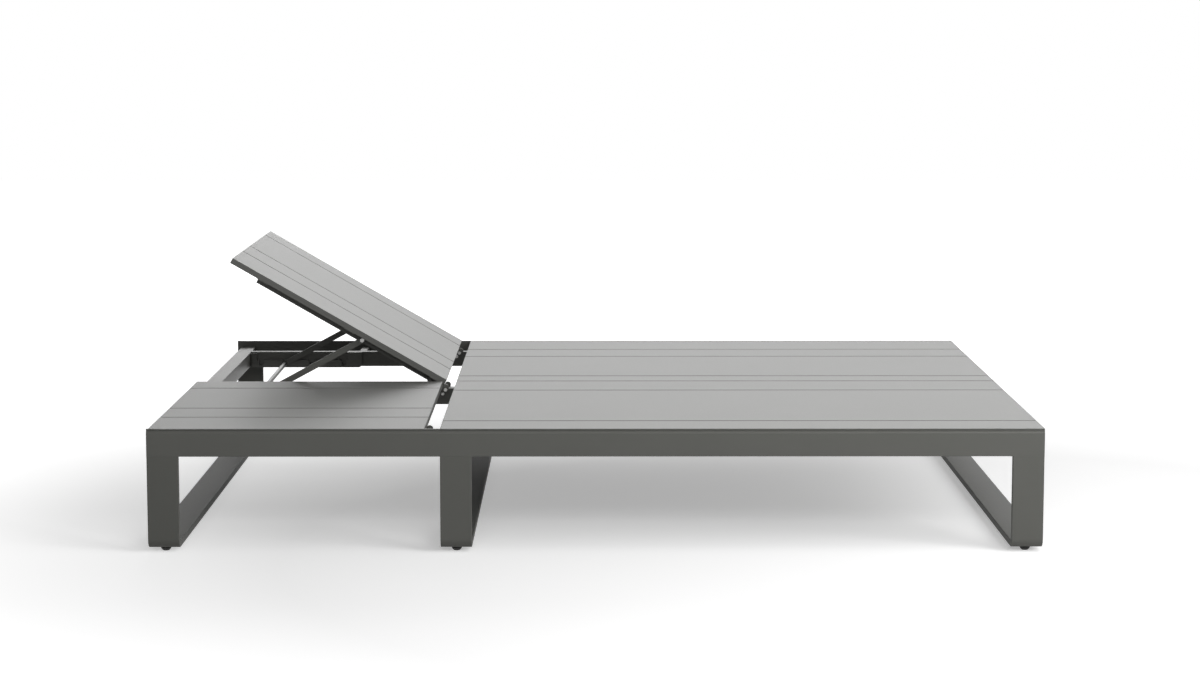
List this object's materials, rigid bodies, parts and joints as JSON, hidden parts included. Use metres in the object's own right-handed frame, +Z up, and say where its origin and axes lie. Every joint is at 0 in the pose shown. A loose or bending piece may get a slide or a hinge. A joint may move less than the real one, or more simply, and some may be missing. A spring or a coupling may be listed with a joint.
{
  "type": "double chaise lounger",
  "caption": "Low double chaise lounger: a plank deck on bent-bar leg loops, with separate hinged backrests, each held up by a ratchet prop in notched racks.",
  "frame": {"origin": "on the floor, under the middle of the frame's length and width", "axes": "+X from the head end to the foot end, +Y from the front side to the rear side, +Z up"},
  "size_m": [2, 1.6, 0.5888],
  "materials": {
    "anthracite_board": "satin powder coat, fine texture",
    "anthracite_frame": "satin powder coat",
    "board_cap": "satin powder coat",
    "steel_fastener": "plain",
    "crossbar_metal": "satin",
    "glide_plastic": "matt, moulded"
  },
  "bodies": {
    "frame": {"centre_beam": "anthracite_frame", "deck_bearer_1": "anthracite_frame", "deck_bearer_2": "anthracite_frame", "deck_board_1": "anthracite_board", "deck_board_2": "anthracite_board", "deck_board_3": "anthracite_board", "deck_board_4": "anthracite_board", "deck_board_5": "anthracite_board", "deck_board_6": "anthracite_board", "deck_board_7": "anthracite_board", "deck_board_caps": "board_cap", "foot_leg": "anthracite_frame", "foot_rail": "anthracite_frame", "front_beam": "anthracite_frame", "front_racks": "anthracite_frame", "front_rail": "anthracite_frame", "front_stub": "anthracite_frame", "glides": "glide_plastic", "head_leg": "anthracite_frame", "head_rail": "anthracite_frame", "hinge_bolts": "steel_fastener", "hinge_plates": "anthracite_frame", "middle_leg": "anthracite_frame", "middle_rail": "anthracite_frame", "rail_end_caps": "board_cap", "rear_beam": "anthracite_frame", "rear_racks": "anthracite_frame", "rear_rail": "anthracite_frame", "rear_stub": "anthracite_frame"},
    "front_backrest": {"front_backrest_board_1": "anthracite_board", "front_backrest_board_2": "anthracite_board", "front_backrest_board_3": "anthracite_board", "front_backrest_board_4": "anthracite_board", "front_backrest_board_caps": "board_cap", "front_backrest_ears": "anthracite_frame", "front_backrest_head_batten": "anthracite_frame", "front_backrest_hinge_batten": "anthracite_frame", "front_backrest_inner_stile": "anthracite_frame", "front_backrest_outer_stile": "anthracite_frame", "front_backrest_prop_bolts": "steel_fastener", "front_backrest_straps": "anthracite_frame"},
    "rear_backrest": {"rear_backrest_board_1": "anthracite_board", "rear_backrest_board_2": "anthracite_board", "rear_backrest_board_3": "anthracite_board", "rear_backrest_board_4": "anthracite_board", "rear_backrest_board_caps": "board_cap", "rear_backrest_ears": "anthracite_frame", "rear_backrest_head_batten": "anthracite_frame", "rear_backrest_hinge_batten": "anthracite_frame", "rear_backrest_inner_stile": "anthracite_frame", "rear_backrest_outer_stile": "anthracite_frame", "rear_backrest_prop_bolts": "steel_fastener", "rear_backrest_straps": "anthracite_frame"},
    "front_prop": {"front_prop_crossbar": "crossbar_metal", "front_prop_inner_arm": "anthracite_frame", "front_prop_outer_arm": "anthracite_frame"},
    "rear_prop": {"rear_prop_crossbar": "crossbar_metal", "rear_prop_inner_arm": "anthracite_frame", "rear_prop_outer_arm": "anthracite_frame"}
  },
  "joints": [
    {"name": "front_backrest_hinge", "type": "hinge", "parent": "frame", "child": "front_backrest", "pos_m": [-0.3735, -0.3845, 0.262], "axis": [0, 1, 0], "range_deg": [0, 60]},
    {"name": "front_prop_hinge", "type": "hinge", "parent": "front_backrest", "child": "front_prop", "pos_m": [-0.61511, -0.3845, 0.2575], "axis": [0, 1, 0], "range_deg": [-107, 0]},
    {"name": "rear_backrest_hinge", "type": "hinge", "parent": "frame", "child": "rear_backrest", "pos_m": [-0.3735, 0.3365, 0.262], "axis": [0, 1, 0], "range_deg": [-30, 30]},
    {"name": "rear_prop_hinge", "type": "hinge", "parent": "rear_backrest", "child": "rear_prop", "pos_m": [-0.58499, 0.3365, 0.3789], "axis": [0, 1, 0], "range_deg": [-53.5, 53.5]}
  ],
  "couplings": [
    {"joint": "front_prop_hinge", "follows": "front_backrest_hinge", "ratio": -1.78},
    {"joint": "rear_prop_hinge", "follows": "rear_backrest_hinge", "ratio": -1.7725}
  ]
}
